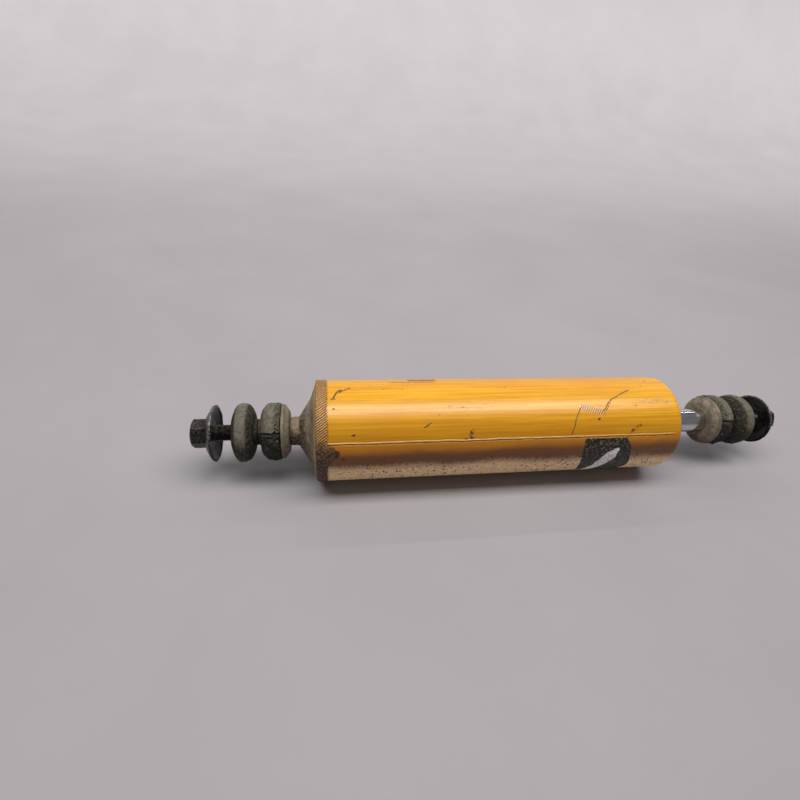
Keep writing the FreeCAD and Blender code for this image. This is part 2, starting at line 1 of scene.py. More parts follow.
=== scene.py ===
"""Looks of a used twin-tube hydraulic damper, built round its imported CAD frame.

Lengths are in millimetres until a mesh is made. Angles round the damper are in degrees above
the horizontal on its -Y side, so 90 is its top and -90 its underside.
"""
import math

import bmesh
import bpy
from mathutils import Matrix, Vector, noise


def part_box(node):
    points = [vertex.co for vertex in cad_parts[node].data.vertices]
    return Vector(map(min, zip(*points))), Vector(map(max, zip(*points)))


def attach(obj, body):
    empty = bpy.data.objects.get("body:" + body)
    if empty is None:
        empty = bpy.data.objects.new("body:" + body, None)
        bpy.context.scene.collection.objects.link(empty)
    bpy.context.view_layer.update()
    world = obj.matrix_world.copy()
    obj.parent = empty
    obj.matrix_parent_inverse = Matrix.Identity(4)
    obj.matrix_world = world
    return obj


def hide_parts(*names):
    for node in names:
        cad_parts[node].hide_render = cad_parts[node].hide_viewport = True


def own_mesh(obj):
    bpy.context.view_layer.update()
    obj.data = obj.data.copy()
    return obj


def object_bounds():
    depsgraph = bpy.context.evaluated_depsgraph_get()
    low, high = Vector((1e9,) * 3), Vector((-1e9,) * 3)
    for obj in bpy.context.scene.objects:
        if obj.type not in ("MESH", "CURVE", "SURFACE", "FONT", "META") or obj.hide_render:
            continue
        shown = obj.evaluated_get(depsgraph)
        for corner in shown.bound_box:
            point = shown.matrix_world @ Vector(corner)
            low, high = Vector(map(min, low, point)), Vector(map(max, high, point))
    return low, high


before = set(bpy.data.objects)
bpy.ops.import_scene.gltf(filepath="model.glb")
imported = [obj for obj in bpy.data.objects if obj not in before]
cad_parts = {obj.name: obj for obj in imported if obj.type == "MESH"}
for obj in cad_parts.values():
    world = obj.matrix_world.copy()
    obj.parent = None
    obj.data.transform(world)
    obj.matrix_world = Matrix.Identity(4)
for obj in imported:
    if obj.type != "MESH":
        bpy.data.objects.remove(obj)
cad_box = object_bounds()

MM = 0.001
OIL_SPACE = 11.0             # from the pressure tube's outside to the reservoir tube's
BOX_MARGIN = 0.01
TUBE_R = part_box("pressure_tube")[1].z / MM + OIL_SPACE
TUBE_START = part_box("reservoir_tube")[0].x / MM
ROD_MOUNT = (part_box("rod_nut")[1].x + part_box("base_nut")[0].x) / MM
ROD_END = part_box("rod_inner_cup_washer")[0].x / MM
FLOOR_Z = cad_box[0].z
BOX_R = cad_box[1].z / MM - BOX_MARGIN

# Each mount, measured along its stud from the middle of the bracket's gap
STUD_R = 6.0
STUD_TIP_R = 4.8
STUD_TIP_CHAMFER = 1.2
STUD_REACH = 47.0
STUD_SIDES = 64
BORE_R = 6.08
THREAD_PITCH = 1.25
THREAD_DEPTH = 0.62
THREAD_STEP = 0.156          # between the points along a thread
THREAD_RUNOUT = 6.0
THREAD_FULL = 8.0
NUT_END_X = -46.2
NUT_FLAT_R = 9.5
NUT_CORNER_R = 10.95
NUT_WORN_R = 10.85
NUT_FACE_R = 9.3
OUTER_CUP_BACK_X = -35.2
OUTER_CUP_RIM_X = -29.7
INNER_CUP_BACK_X = 22.6
INNER_CUP_RIM_X = 17.2
BUSH_R = 21.9
SPIGOT_R = 9.7
SPIGOT_END_X = 2.6

NECK_R = 9.0
WELD_MIDDLE = 45.7
WELD_CREST_R = 38.35
WELD_END_X = 49.8
WELD_RIPPLES = 128
TUBE_WALL = 2.5
SHOULDER_X = 321.0
SEAM_ANGLE = 25.0
SEAM_END_X = 316.0
LABEL_TOP_ANGLE = 22.6
LABEL_BOTTOM_ANGLE = -44.6
LABEL_LIFT = 0.12
ROD_R = 10.0
ROD_PISTON_X = 113.0
ROD_STEP_X = 150.0
ROUNDING_STEPS = 6

# Marks in the paint and on the label, from one (x, angle) place to another, with a half width
WELD_STAIN = ((50.5, 16.0), (55.0, 14.0))
HATCHED_SCUFF = ((239.0, 59.0), (254.5, 53.0))
SCRATCHES = [
    ((54.4, 76.0), (57.0, 84.5), 0.42),
    ((57.0, 84.5), (59.6, 88.5), 0.50),
    ((59.6, 86.0), (66.4, 92.0), 0.36),
    ((58.6, 84.0), (62.6, 88.6), 0.34),
    ((53.2, 74.6), (56.0, 74.8), 0.34),
    ((117.4, 40.6), (122.4, 45.2), 0.30),
    ((229.0, 27.6), (233.4, 47.8), 0.26),
    ((233.4, 47.8), (237.7, 58.4), 0.24),
    ((256.0, 53.4), (262.6, 66.0), 0.24),
    ((258.4, 55.0), (265.4, 69.0), 0.20),
    ((264.0, 67.4), (283.2, 81.7), 0.28),
    ((96.0, 105.0), (131.0, 104.0), 0.30),
    ((112.0, 113.0), (131.0, 112.0), 1.10),
]
DARK_SPOTS = [
    ((67.4, 34.0), 0.85), ((54.3, 62.9), 0.55), ((146.6, 62.0), 0.4), ((251.1, 44.9), 0.75),
    ((305.1, 100.4), 0.55), ((296.4, 88.7), 0.45), ((60.4, 8.0), 0.9), ((133.6, -9.0), 0.75),
    ((120.8, -7.0), 0.5), ((90.4, 89.0), 0.4), ((104.0, 88.0), 0.4), ((283.4, 60.0), 0.4),
    ((182.6, 90.0), 0.4), ((128.4, 54.0), 0.35), ((223.0, 10.0), 0.5), ((172.0, -8.0), 0.7),
    ((217.0, -18.0), 0.8), ((81.0, 96.0), 0.35), ((197.0, -26.0), 0.4), ((226.0, -6.0), 0.9),
]
CHIPS = [
    ((151.2, 29.0), (152.4, 35.6), 1.5),
    ((146.8, 27.4), (158.0, 27.6), 0.5),
    ((275.6, 23.4), (277.6, 29.4), 1.0),
    ((279.0, 31.0), (285.4, 36.4), 1.2),
]
SMUDGES = [
    ((134.0, 61.5), (169.0, 62.5), 3.4),
    ((290.0, 66.2), (311.0, 64.0), 3.4),
]
# The last two numbers are the half width at a scrape's edge and at its bare middle
LABEL_SCRAPES = [
    ((255.0, -34.0), (261.6, -13.0), 4.6, 3.2),
    ((260.0, -14.0), (268.4, 6.0), 3.0, 1.8),
    ((247.0, -38.0), (257.0, -28.0), 1.6, 0.8),
    ((260.5, -15.0), (265.0, -2.0), 6.0, 4.2),
]


def srgb(red, green, blue):
    """A linear colour from its 0-255 display values."""
    def linear(value):
        value = value / 255
        return value / 12.92 if value <= 0.04045 else ((value + 0.055) / 1.055) ** 2.4
    return (linear(red), linear(green), linear(blue), 1.0)


# Mesh tools

def clamp(value, low=0.0, high=1.0):
    return max(low, min(high, value))


def smooth(value, low, high):
    """0 up to low, 1 from high, and a soft step between them."""
    share = clamp((value - low) / (high - low))
    return share * share * (3 - 2 * share)


def lumps(x, r, angle, size, seed=0.0, octaves=3):
    """Fractal noise from about -1 to 1 on the surface, with lumps of that size."""
    point = Vector((x / size + seed, r * math.cos(angle) / size, r * math.sin(angle) / size))
    return noise.fractal(point, 0.7, 2.0, octaves)


def rounded(corners):
    """The points of a closed outline. A corner is (x, radius), or (x, radius, rounding)."""
    points = []
    for index, corner in enumerate(corners):
        here = Vector(corner[:2])
        if len(corner) == 2:
            points.append(here)
            continue
        before = Vector(corners[index - 1][:2])
        after = Vector(corners[(index + 1) % len(corners)][:2])
        to_before = (before - here).normalized()
        to_after = (after - here).normalized()
        reach = corner[2] / math.tan(to_before.angle(to_after) / 2)
        start = here + to_before * reach
        end = here + to_after * reach
        for step in range(ROUNDING_STEPS + 1):
            t = step / ROUNDING_STEPS
            points.append(start * (1 - t) ** 2 + here * (2 * t * (1 - t)) + end * t ** 2)
    return points


def finer(points, step, closed=True):
    """The same outline with no gap between points longer than step."""
    result = []
    pairs = list(zip(points, points[1:] + points[:1]))
    if not closed:
        pairs = pairs[:-1]
    for start, end in pairs:
        count = max(1, math.ceil((end - start).length / step))
        result += [start.lerp(end, index / count) for index in range(count)]
    if not closed:
        result.append(points[-1])
    return result


def within_box(r, angle):
    """The radius, cut down where it would stand proud of the CAD box."""
    reach = max(abs(math.cos(angle)), abs(math.sin(angle)))
    return min(r, BOX_R / reach)


def around(count):
    """That many equal steps round the damper, in radians."""
    return [2 * math.pi * index / count for index in range(count)]


def finish_mesh(name, mesh, body, slot, replaced):
    """Clean the mesh, and make it a piece of the damper, with its body, CAD node and material."""
    work = bmesh.new()
    work.from_mesh(mesh)
    bmesh.ops.remove_doubles(work, verts=work.verts, dist=1e-7)
    bmesh.ops.dissolve_degenerate(work, edges=work.edges, dist=1e-8)
    bmesh.ops.recalc_face_normals(work, faces=work.faces)
    work.to_mesh(mesh)
    work.free()
    mesh.shade_smooth()
    mesh.set_sharp_from_angle(angle=math.radians(50))
    mesh.materials.append(MATERIALS[slot])
    piece = bpy.data.objects.new(name, mesh)
    bpy.context.scene.collection.objects.link(piece)
    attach(piece, body)
    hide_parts(replaced)
    return piece


def lathe(name, outline, angles, shape, body, slot, replaced, mirror_x=None):
    """A closed outline turned about the damper's axis.

    shape(x, r, angle) gives each point's (x, r, mark). The mark goes to the material. A mirror_x
    measures x back from there, for the mount at the rod end.
    """
    points = []
    marks = []
    for angle in angles:
        for corner in outline:
            x, r, mark = shape(corner[0], corner[1], angle)
            if mirror_x is not None:
                x = mirror_x - x
            points.append((x * MM, -r * math.cos(angle) * MM, r * math.sin(angle) * MM))
            marks.append(mark)
    size = len(outline)
    faces = []
    for turn in range(len(angles)):
        this = turn * size
        following = (turn + 1) % len(angles) * size
        for index in range(size):
            after = (index + 1) % size
            faces.append((this + index, this + after, following + after, following + index))
    mesh = bpy.data.meshes.new(name)
    mesh.from_pydata(points, [], faces)
    mesh.attributes.new("mark", "FLOAT", "POINT").data.foreach_set("value", marks)
    finish_mesh(name, mesh, body, slot, replaced)


# Material tools

class Graph:
    """A material under construction. Each method adds a node and returns its output."""

    def __init__(self, name):
        self.material = bpy.data.materials.new(name)
        self.material.use_nodes = True
        self.nodes = self.material.node_tree.nodes
        self.links = self.material.node_tree.links
        self.shader = self.nodes["Principled BSDF"]
        where = self.nodes.new("ShaderNodeTexCoord").outputs["Object"]
        self.place = self.vector("SCALE", where, factor=1 / MM)
        split = self.nodes.new("ShaderNodeSeparateXYZ")
        self.links.new(self.place, split.inputs[0])
        self.x, self.y, self.z = split.outputs
        radians = self.math("ARCTAN2", self.z, self.math("MULTIPLY", self.y, -1.0))
        self.angle = self.math("DEGREES", radians)

    def put(self, socket, value):
        if isinstance(value, bpy.types.NodeSocket):
            self.links.new(value, socket)
        else:
            socket.default_value = value

    def math(self, operation, first, second=0.0, clamp=False):
        node = self.nodes.new("ShaderNodeMath")
        node.operation = operation
        node.use_clamp = clamp
        self.put(node.inputs[0], first)
        self.put(node.inputs[1], second)
        return node.outputs[0]

    def vector(self, operation, first, second=(0.0, 0.0, 0.0), factor=1.0):
        node = self.nodes.new("ShaderNodeVectorMath")
        node.operation = operation
        self.put(node.inputs[0], first)
        self.put(node.inputs[1], second)
        if operation == "SCALE":
            self.put(node.inputs["Scale"], factor)
        number = operation in ("LENGTH", "DOT_PRODUCT")
        return node.outputs["Value" if number else "Vector"]

    def point(self, x, y, z=0.0):
        node = self.nodes.new("ShaderNodeCombineXYZ")
        for socket, value in zip(node.inputs, (x, y, z)):
            self.put(socket, value)
        return node.outputs[0]

    def noise(self, size, detail=3.0, rough=0.6, stretch=(1.0, 1.0, 1.0)):
        """Noise from 0 to 1 with features of that size, longer where stretch is below 1."""
        node = self.nodes.new("ShaderNodeTexNoise")
        self.put(node.inputs["Vector"], self.vector("MULTIPLY", self.place, stretch))
        node.inputs["Scale"].default_value = 1 / size
        node.inputs["Detail"].default_value = detail
        node.inputs["Roughness"].default_value = rough
        return node.outputs["Fac"]

    def specks(self, size, share, spread):
        """1 inside scattered round specks and 0 outside. Share is the part of the cells with one."""
        node = self.nodes.new("ShaderNodeTexVoronoi")
        self.put(node.inputs["Vector"], self.place)
        node.inputs["Scale"].default_value = 1 / size
        split = self.nodes.new("ShaderNodeSeparateColor")
        self.links.new(node.outputs["Color"], split.inputs[0])
        chosen = self.step(split.outputs[0], share, share - 0.02)
        width = self.math("MULTIPLY", split.outputs[1], spread)
        inside = self.step(self.math("SUBTRACT", node.outputs["Distance"], width), 0.08, -0.04)
        return self.math("MULTIPLY", chosen, inside)

    def step(self, value, low, high, top=1.0):
        """0 at low and top at high, with a soft step between them."""
        node = self.nodes.new("ShaderNodeMapRange")
        node.interpolation_type = "SMOOTHSTEP"
        self.put(node.inputs["Value"], value)
        node.inputs["From Min"].default_value = low
        node.inputs["From Max"].default_value = high
        node.inputs["To Max"].default_value = top
        return node.outputs["Result"]

    def band(self, value, low, high, soft):
        """1 between low and high, falling to 0 over soft on each side."""
        rise = self.step(value, low - soft, low + soft)
        return self.math("MULTIPLY", rise, self.step(value, high + soft, high - soft))

    def both(self, first, second):
        return self.math("MULTIPLY", first, second)

    def either(self, first, second):
        return self.math("MAXIMUM", first, second)

    def mix(self, share, first, second):
        node = self.nodes.new("ShaderNodeMix")
        node.data_type = "RGBA"
        self.put(node.inputs[0], share)
        self.put(node.inputs[6], first)
        self.put(node.inputs[7], second)
        return node.outputs[2]

    def mark(self):
        node = self.nodes.new("ShaderNodeAttribute")
        node.attribute_name = "mark"
        return node.outputs["Fac"]

    def stroke(self, flat, start, end):
        """The distance from the flat point to the stroke between two (x, angle) places."""
        from_point = Vector((start[0], arc_length(start[1]), 0.0))
        along = Vector((end[0], arc_length(end[1]), 0.0)) - from_point
        offset = self.vector("SUBTRACT", flat, from_point)
        reach = self.vector("DOT_PRODUCT", offset, along)
        share = self.math("DIVIDE", reach, along.length_squared, clamp=True)
        nearest = self.vector("SCALE", along, factor=share)
        return self.vector("LENGTH", self.vector("SUBTRACT", offset, nearest))

    def bumps(self, *layers):
        """Bump from (height, depth in mm) pairs, one over the other."""
        normal = None
        for height, depth in layers:
            node = self.nodes.new("ShaderNodeBump")
            node.inputs["Distance"].default_value = depth * MM
            self.put(node.inputs["Height"], height)
            if normal is not None:
                self.links.new(normal, node.inputs["Normal"])
            normal = node.outputs["Normal"]
        self.links.new(normal, self.shader.inputs["Normal"])

    def finish(self, color, rough, metallic=0.0, **constants):
        self.put(self.shader.inputs["Base Color"], color)
        self.put(self.shader.inputs["Roughness"], rough)
        self.put(self.shader.inputs["Metallic"], metallic)
        for name, value in constants.items():
            self.shader.inputs[name.replace("_", " ")].default_value = value
        return self.material


def arc_length(angle):
    """The distance round the tube to an angle in degrees."""
    return math.radians(angle) * TUBE_R


# Materials

def yellow_paint():
    """Amber paint, streaked along the tube, knocked and scratched, with painted shade that darkens it towards
    the seam, a painted dark reflection under the seam, a chalky strip below that which is partly a painted
    reflection of the floor, and a painted highlight and painted shadow along the seam's lip.
    """
    g = Graph("yellow_paint")
    arc = g.math("MULTIPLY", g.angle, math.radians(1) * TUBE_R)
    wander = g.math("MULTIPLY", g.math("SUBTRACT", g.noise(2.4, 2), 0.5), 2.2)
    flat = g.point(g.math("ADD", g.x, wander), g.math("ADD", arc, wander))
    streak = g.noise(1.6, 4, 0.65, stretch=(0.02, 1.0, 1.0))
    fine = g.noise(0.55, 3, 0.6, stretch=(0.06, 1.0, 1.0))
    cloud = g.noise(28.0, 3, 0.55, stretch=(0.5, 1.0, 1.0))
    grit = g.noise(2.2, 6, 0.78)
    color = g.mix(g.step(streak, 0.34, 0.66), srgb(202, 138, 10), srgb(231, 168, 24))
    color = g.mix(g.step(cloud, 0.35, 0.75, 0.45), color, srgb(210, 130, 16))
    color = g.mix(g.step(fine, 0.5, 0.75, 0.25), color, srgb(172, 108, 10))

    # Painted shade: the paint darkens from 62 degrees down to 26, towards the seam.
    color = g.mix(g.step(g.angle, 62.0, 26.0, 0.5), color, srgb(142, 88, 6))
    wavy = g.math("ADD", g.angle, g.math("MULTIPLY", g.math("SUBTRACT", cloud, 0.5), 16.0))
    under = g.band(g.angle, -165.0, SEAM_ANGLE, 1.2)
    # Painted dark reflection: two brown steps darken the paint under the seam.
    color = g.mix(g.both(under, g.step(wavy, 27.0, 16.0, 0.7)), color, srgb(164, 96, 20))
    color = g.mix(g.both(under, g.step(wavy, 20.0, 10.0, 0.9)), color, srgb(98, 54, 16))
    # Chalky strip low on the tube: its pale tan is partly a painted reflection of the floor, with flakes and
    # dark grit in it.
    chalk_and_reflection = g.both(under, g.step(g.math("ADD", wavy, g.math("MULTIPLY", grit, 26.0)), 15.0, 1.0, 0.9))
    color = g.mix(chalk_and_reflection, color, srgb(255, 208, 144))
    flakes = g.both(chalk_and_reflection, g.step(grit, 0.51, 0.57, 0.9))
    color = g.mix(flakes, color, srgb(255, 242, 212))
    color = g.mix(g.both(chalk_and_reflection, g.step(grit, 0.45, 0.38, 0.65)), color, srgb(146, 96, 50))
    pits = g.both(g.step(g.angle, 12.0, -4.0), g.specks(2.4, 0.5, 0.5))
    color = g.mix(g.both(pits, g.step(cloud, 0.35, 0.5)), color, srgb(72, 40, 22))
    rare = g.both(g.step(cloud, 0.4, 0.6), g.specks(4.2, 0.12, 0.16))
    color = g.mix(g.math("MULTIPLY", rare, 0.7), color, srgb(96, 56, 26))
    back = g.math("ABSOLUTE", g.angle)
    dull = g.both(g.step(back, 125.0, 160.0), g.step(g.noise(9.0, 5, 0.7), 0.46, 0.66, 0.7))
    color = g.mix(dull, color, srgb(140, 96, 40))

    for start, end, width in SMUDGES:
        near = g.step(g.stroke(flat, start, end), width, width * 0.4)
        worn = g.both(near, g.step(g.noise(1.9, 4, 0.7, stretch=(0.45, 1.0, 1.0)), 0.5, 0.62, 0.75))
        color = g.mix(worn, color, srgb(150, 122, 92))
    knocked = g.step(g.stroke(flat, *WELD_STAIN), 4.4, 2.6)
    for start, end, width in CHIPS:
        chip = g.step(g.stroke(flat, start, end), width * 1.7, width * 0.5)
        knocked = g.either(knocked, g.both(chip, g.step(grit, 0.44, 0.54)))
    worn = g.step(g.noise(1.3, 2), 0.3, 0.45)
    for start, end, width in SCRATCHES:
        scratch = g.step(g.stroke(flat, start, end), width * 2.2, width * 0.9)
        knocked = g.either(knocked, g.both(worn, scratch))
    for place, width in DARK_SPOTS:
        end = (place[0] + 0.6, place[1])
        spot = g.step(g.stroke(flat, place, end), width * 1.3, width * 0.6)
        knocked = g.either(knocked, spot)
    color = g.mix(g.math("MULTIPLY", knocked, 0.95), color, srgb(58, 28, 16))

    scuff = g.step(g.stroke(flat, *HATCHED_SCUFF), 2.8, 1.9)
    across = g.math("ADD", g.math("MULTIPLY", g.x, 3.3), g.math("MULTIPLY", arc, -1.9))
    slant = g.math("SINE", g.math("ADD", across, g.math("MULTIPLY", wander, 2.6)))
    frayed = g.both(scuff, g.step(grit, 0.42, 0.52))
    color = g.mix(g.both(frayed, g.step(slant, -0.1, 0.3, 0.85)), color, srgb(86, 76, 78))
    color = g.mix(g.both(frayed, g.step(slant, -0.5, -0.9, 0.7)), color, srgb(244, 224, 188))

    seam = g.mark()
    shown = g.band(g.x, 50.4, SEAM_END_X, 0.6)
    # Painted highlight: a light orange line along the seam's lip.
    lip = g.both(shown, g.band(seam, 0.1, 1.0, 0.25))
    color = g.mix(g.math("MULTIPLY", lip, 0.65), color, srgb(232, 170, 92))
    # Painted shadow: a broken dark line in the groove under the seam's lip.
    broken = g.step(g.noise(5.0, 3, 0.7), 0.25, 0.6)
    groove = g.both(shown, g.band(seam, -0.85, -0.15, 0.25))
    color = g.mix(g.both(groove, g.math("MULTIPLY", broken, 0.95)), color, srgb(66, 36, 16))
    soot = g.both(g.step(g.x, 51.6, 49.6), g.step(g.noise(1.2, 4, 0.7), 0.42, 0.55, 0.9))
    color = g.mix(soot, color, srgb(58, 38, 26))

    rough = g.math("ADD", g.math("MULTIPLY", fine, 0.16), g.math("MULTIPLY", chalk_and_reflection, 0.14))
    rough = g.math("ADD", rough, g.math("MULTIPLY", knocked, 0.3))
    g.bumps((g.math("ADD", g.math("MULTIPLY", fine, 0.5), grit), 0.06))
    return g.finish(color, g.math("ADD", rough, 0.22), Specular_IOR_Level=0.5)


def weld_bead():
    """Fine weld ripples, gold on their crests, brown between them, darker near the underside."""
    g = Graph("weld_bead")
    ripple = g.mark()
    grit = g.noise(1.8, 6, 0.78)
    color = g.mix(g.step(ripple, -0.15, 0.55), srgb(34, 18, 8), srgb(184, 136, 74))
    color = g.mix(g.step(grit, 0.47, 0.36, 0.7), color, srgb(66, 42, 26))
    uneven = g.math("ADD", g.angle, g.math("MULTIPLY", g.math("SUBTRACT", g.noise(7.0), 0.5), 26.0))
    # Darker purple-brown colour towards the underside.
    low = g.step(uneven, 32.0, 15.0, 0.92)
    high = g.band(uneven, 92.0, 128.0, 6.0)
    color = g.mix(low, color, g.mix(g.step(grit, 0.46, 0.56), srgb(30, 18, 18), srgb(112, 80, 60)))
    color = g.mix(g.math("MULTIPLY", high, g.step(ripple, 0.7, -0.5, 0.8)), color, srgb(52, 30, 38))
    g.bumps((grit, 0.3))
    return g.finish(color, g.math("ADD", g.math("MULTIPLY", grit, 0.3), 0.34), 0.25)


def dusty_cap():
    """The bare base cap: grey-brown and dusty, rusty by the neck, overspray by the weld."""
    g = Graph("dusty_cap")
    cloud = g.noise(9.0, 4, 0.65)
    grit = g.noise(2.0, 6, 0.78)
    color = g.mix(g.step(cloud, 0.35, 0.65), srgb(98, 86, 70), srgb(140, 124, 100))
    color = g.mix(g.step(grit, 0.52, 0.64, 0.6), color, srgb(172, 154, 124))
    color = g.mix(g.step(grit, 0.46, 0.36, 0.75), color, srgb(60, 49, 38))
    edge = g.math("ADD", g.x, g.math("MULTIPLY", cloud, 1.6))
    color = g.mix(g.step(edge, 41.2, 42.4, 0.75), color, srgb(178, 148, 74))
    rust = g.both(g.step(edge, 36.4, 34.0), g.step(grit, 0.58, 0.46, 0.9))
    color = g.mix(rust, color, srgb(56, 38, 26))
    # Dark blotches on the cap's lower side.
    low_blotches = g.both(g.step(g.angle, 10.0, -20.0), g.step(g.noise(5.0, 4), 0.42, 0.6, 0.75))
    color = g.mix(low_blotches, color, srgb(58, 48, 40))
    g.bumps((grit, 0.1), (cloud, 0.3))
    return g.finish(color, g.math("ADD", g.math("MULTIPLY", grit, 0.25), 0.48), 0.15)


def rusted_steel():
    """Scaly brown steel with tan dust on what faces up."""
    g = Graph("rusted_steel")
    grit = g.noise(1.8, 6, 0.78)
    color = g.mix(g.step(grit, 0.42, 0.58), srgb(42, 31, 24), srgb(116, 99, 78))
    color = g.mix(g.step(g.noise(2.6, 4), 0.5, 0.7, 0.7), color, srgb(96, 58, 34))
    color = g.mix(g.step(g.z, 2.0, 9.0, 0.45), color, srgb(164, 148, 120))
    g.bumps((grit, 0.3))
    return g.finish(color, g.math("ADD", g.math("MULTIPLY", grit, 0.3), 0.5), 0.3)


def dark_steel():
    """Nearly black oiled steel with rust freckles, rubbed bright where its mark is high on the upper side,
    which is partly a painted highlight, and with painted shade that goes almost black on its underside.
    """
    g = Graph("dark_steel")
    grit = g.noise(1.7, 6, 0.8)
    cloud = g.noise(4.0, 4, 0.65)
    color = g.mix(g.step(grit, 0.4, 0.6), srgb(14, 13, 14), srgb(44, 40, 38))
    dusty = g.both(g.step(g.z, -2.0, 5.0), g.step(cloud, 0.4, 0.6))
    rust = g.both(g.step(grit, 0.46, 0.56), g.math("ADD", g.math("MULTIPLY", dusty, 0.5), 0.2))
    color = g.mix(rust, color, srgb(98, 86, 74))
    # Painted shade: the steel goes almost black on its underside.
    color = g.mix(g.step(g.z, 0.0, -6.0, 0.8), color, srgb(6, 5, 5))
    # Bare metal rubbed along the rims, only on the upper side: wear, and partly a painted highlight.
    bare_and_highlight = g.both(g.both(g.step(g.mark(), 0.45, 0.9), g.step(g.z, 2.0, 12.0)), g.step(grit, 0.44, 0.52))
    color = g.mix(g.math("MULTIPLY", bare_and_highlight, 0.6), color, srgb(150, 146, 146))
    rough = g.math("ADD", g.math("MULTIPLY", grit, 0.3), g.math("MULTIPLY", rust, 0.2))
    g.bumps((grit, 0.08), (cloud, 0.2))
    return g.finish(color, g.math("ADD", rough, 0.2), 0.6)


def dusty_steel():
    """Zinc-plated steel gone dull, under tan dust, with painted shade on its lower part."""
    g = Graph("dusty_steel")
    grit = g.noise(1.9, 6, 0.78)
    cloud = g.noise(6.0, 4, 0.65)
    color = g.mix(g.step(cloud, 0.35, 0.65), srgb(112, 102, 86), srgb(150, 138, 116))
    color = g.mix(g.step(grit, 0.48, 0.38, 0.75), color, srgb(62, 53, 44))
    # Painted shade: the washer darkens towards its lower part.
    color = g.mix(g.step(g.z, -6.0, -16.0, 0.6), color, srgb(58, 50, 44))
    worn = g.both(g.step(g.mark(), 0.4, 0.8), g.step(grit, 0.4, 0.55, 0.7))
    color = g.mix(worn, color, srgb(84, 72, 66))
    g.bumps((grit, 0.08), (cloud, 0.2))
    return g.finish(color, g.math("ADD", g.math("MULTIPLY", grit, 0.3), 0.42), 0.25)


def mount_rubber():
    """Old black rubber, grey-green with dust where its mark is high, and dark where it is low: crumbling on
    the inner bush, and on the outer bush its flanks and, as painted shade, its underside.
    """
    g = Graph("mount_rubber")
    grit = g.noise(1.8, 6, 0.8)
    cloud = g.noise(5.0, 4, 0.65)
    dust = g.math("ADD", g.mark(), g.math("MULTIPLY", g.math("SUBTRACT", grit, 0.5), 1.6))
    color = g.mix(g.step(dust, 0.05, 1.05), srgb(44, 41, 33), srgb(98, 94, 77))
    color = g.mix(g.step(grit, 0.55, 0.62, 0.35), color, srgb(128, 122, 104))
    color = g.mix(g.step(grit, 0.47, 0.38, 0.8), color, srgb(20, 18, 17))
    faded = g.both(g.step(g.mark(), 0.9, 1.0), g.step(cloud, 0.42, 0.6, 0.6))
    color = g.mix(faded, color, srgb(122, 110, 112))
    g.bumps((grit, 0.45))
    return g.finish(color, g.math("ADD", g.math("MULTIPLY", grit, 0.3), 0.5), Specular_IOR_Level=0.2)


def label_film():
    """Black film, speckled and rubbed, with a scraped pale patch and grey strokes round it."""
    g = Graph("label_film")
    arc = g.math("MULTIPLY", g.angle, math.radians(1) * TUBE_R)
    wander = g.math("MULTIPLY", g.math("SUBTRACT", g.noise(2.2, 3), 0.5), 3.4)
    flat = g.point(g.math("ADD", g.x, wander), g.math("ADD", arc, wander))
    grit = g.noise(1.9, 6, 0.85)
    color = g.mix(g.step(grit, 0.44, 0.56), srgb(12, 11, 10), srgb(52, 47, 40))
    color = g.mix(g.step(grit, 0.55, 0.6, 0.8), color, srgb(150, 140, 118))
    color = g.mix(g.step(g.noise(1.1, 3), 0.62, 0.7, 0.7), color, srgb(140, 132, 112))
    worn = 0.0
    for start, end, edge, middle in LABEL_SCRAPES:
        worn = g.either(worn, g.step(g.stroke(flat, start, end), edge, middle))
    scraped = g.both(worn, g.step(grit, 0.4, 0.48))
    pale = g.mix(g.step(g.noise(1.6, 3), 0.45, 0.65), srgb(255, 253, 248), srgb(224, 218, 210))
    color = g.mix(scraped, color, pale)
    g.bumps((grit, 0.12))
    return g.finish(color, g.math("ADD", g.math("MULTIPLY", grit, 0.25), 0.36), Specular_IOR_Level=0.3)


def turned_metal(name, dark, light, rough, metallic=1.0, line=0.35):
    """Machined metal with fine tool lines round the axis and light staining."""
    g = Graph(name)
    lines = g.noise(line, 2, 0.5, stretch=(1.0, 0.03, 0.03))
    stain = g.noise(7.0, 4, 0.65)
    color = g.mix(g.step(lines, 0.3, 0.7), dark, light)
    color = g.mix(g.step(stain, 0.5, 0.75, 0.4), color, dark)
    g.bumps((lines, 0.02))
    return g.finish(color, g.math("ADD", g.math("MULTIPLY", stain, 0.2), rough), metallic)


def moulded(name, dark, light, rough):
    """Rubber, plastic or pressed powder: fine grain over soft clouding."""
    g = Graph(name)
    grit = g.noise(0.6, 4, 0.7)
    cloud = g.noise(6.0, 3)
    mottle = g.math("ADD", g.math("MULTIPLY", grit, 0.6), g.math("MULTIPLY", cloud, 0.4))
    color = g.mix(g.step(mottle, 0.35, 0.65), dark, light)
    g.bumps((grit, 0.05))
    return g.finish(color, g.math("ADD", g.math("MULTIPLY", grit, 0.2), rough))


def chrome_rod():
    """Hard chrome with lengthwise polish lines and a thin oil haze."""
    g = Graph("chrome_rod")
    lines = g.noise(0.3, 2, 0.5, stretch=(0.02, 1.0, 1.0))
    haze = g.noise(8.0, 4, 0.65, stretch=(0.4, 1.0, 1.0))
    color = g.mix(g.step(haze, 0.45, 0.7, 0.5), srgb(206, 208, 212), srgb(168, 164, 154))
    thread = g.step(g.x, ROD_MOUNT - 22.0, ROD_MOUNT - 21.0)
    color = g.mix(thread, color, srgb(58, 54, 52))
    rough = g.math("ADD", g.math("MULTIPLY", haze, 0.14), g.math("MULTIPLY", thread, 0.25))
    g.bumps((lines, 0.008))
    return g.finish(color, g.math("ADD", rough, 0.06), 1.0)


